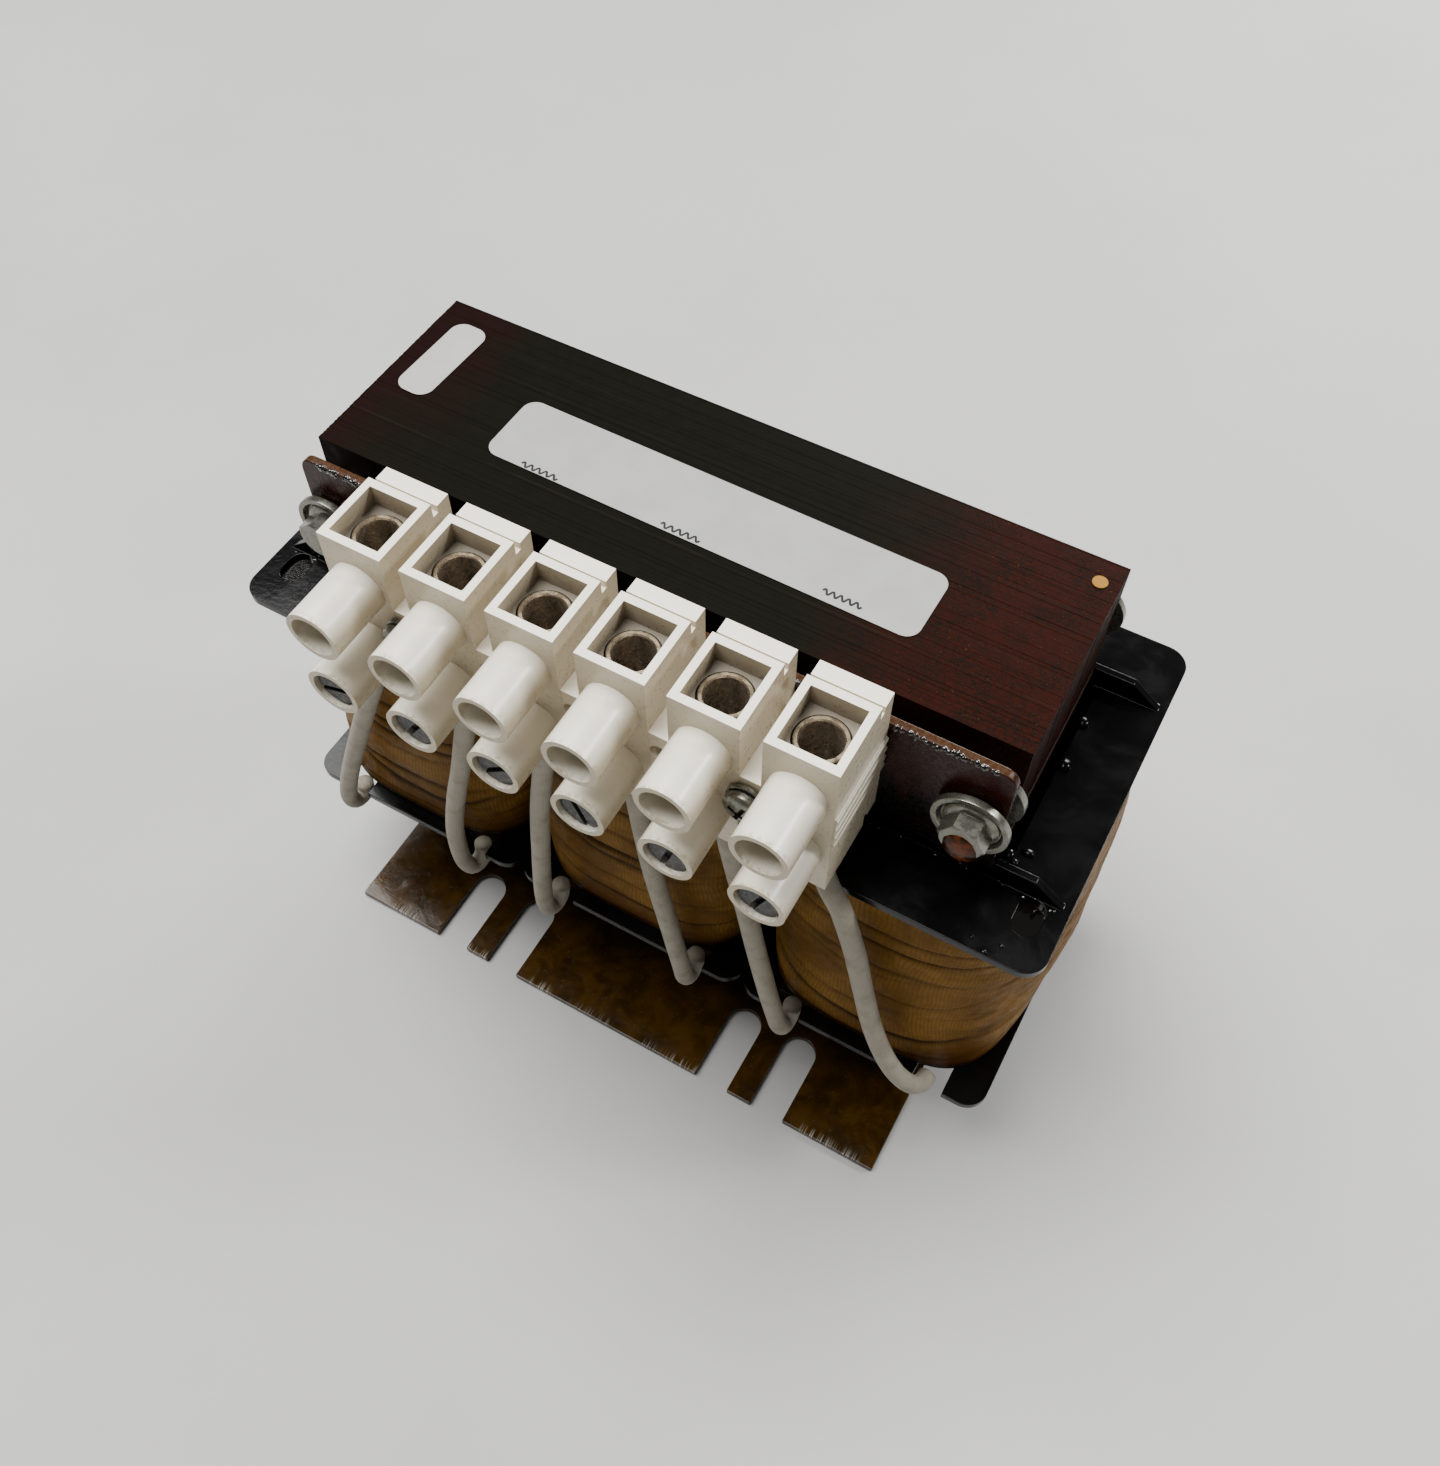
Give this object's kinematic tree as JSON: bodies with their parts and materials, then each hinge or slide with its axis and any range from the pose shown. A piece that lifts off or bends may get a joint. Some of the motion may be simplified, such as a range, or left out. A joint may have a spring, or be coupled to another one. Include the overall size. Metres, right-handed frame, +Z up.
{
  "type": "line reactor",
  "caption": "Open three-phase line reactor: varnished laminated core on slotted feet, wrapped coils on black bobbins, white terminal strip with plated clamps in front",
  "frame": {"origin": "on the surface that the feet stand on, at the centre of the pattern of foot slots, below the middle of the core", "axes": "+X along the core towards the terminal strip's right end as seen from the front, -Y towards the terminal side, +Z up"},
  "size_m": [0.1896, 0.1203, 0.1531],
  "materials": {
    "core": "stacked steel sheets under dark brown varnish, rusty towards one end",
    "gap_board": "varnished pressboard",
    "bobbin": "satin black moulding with drops of varnish",
    "winding": "enamelled copper",
    "coil_wrap": "wrinkled brown film under varnish",
    "sleeving": "woven ivory sleeving",
    "housing": "warm white satin moulding",
    "clamp": "nickel plate, ridged inside",
    "clamp_screw": "plated steel dulled by varnish",
    "zinc": "bright zinc plate",
    "bracket": "steel under dark brown varnish",
    "foot": "steel under glossy amber varnish"
  },
  "bodies": {
    "root": {"core_e_stack": "core", "core_i_yoke": "core", "gap_spacer_left": "gap_board", "gap_spacer_centre": "gap_board", "gap_spacer_right": "gap_board", "bobbin_left": "bobbin", "bobbin_centre": "bobbin", "bobbin_right": "bobbin", "winding_left": "winding", "winding_centre": "winding", "winding_right": "winding", "coil_wrap_left": "coil_wrap", "coil_wrap_centre": "coil_wrap", "coil_wrap_right": "coil_wrap", "lead_1": "sleeving", "lead_2": "sleeving", "lead_3": "sleeving", "lead_4": "sleeving", "lead_5": "sleeving", "lead_6": "sleeving", "terminal_housing": "housing", "terminal_clamp_1": "clamp", "terminal_clamp_2": "clamp", "terminal_clamp_3": "clamp", "terminal_clamp_4": "clamp", "terminal_clamp_5": "clamp", "terminal_clamp_6": "clamp", "upper_clamp_screw_1": "clamp_screw", "upper_clamp_screw_2": "clamp_screw", "upper_clamp_screw_3": "clamp_screw", "upper_clamp_screw_4": "clamp_screw", "upper_clamp_screw_5": "clamp_screw", "upper_clamp_screw_6": "clamp_screw", "lower_clamp_screw_1": "clamp_screw", "lower_clamp_screw_2": "clamp_screw", "lower_clamp_screw_3": "clamp_screw", "lower_clamp_screw_4": "clamp_screw", "lower_clamp_screw_5": "clamp_screw", "lower_clamp_screw_6": "clamp_screw", "strip_screw_left": "zinc", "strip_screw_right": "zinc", "strip_washer_left": "zinc", "strip_washer_right": "zinc", "terminal_bracket": "bracket", "foot_bracket_front": "foot", "foot_bracket_rear": "foot", "yoke_bolt_left": "zinc", "yoke_bolt_right": "zinc", "yoke_washer_front_left": "zinc", "yoke_washer_front_right": "zinc", "yoke_washer_rear_left": "zinc", "yoke_washer_rear_right": "zinc", "yoke_nut_left": "zinc", "yoke_nut_right": "zinc", "bracket_spacer_left": "zinc", "bracket_spacer_right": "zinc", "foot_bolt_left": "zinc", "foot_bolt_right": "zinc", "foot_nut_left": "zinc", "foot_nut_right": "zinc"}
  },
  "joints": []
}
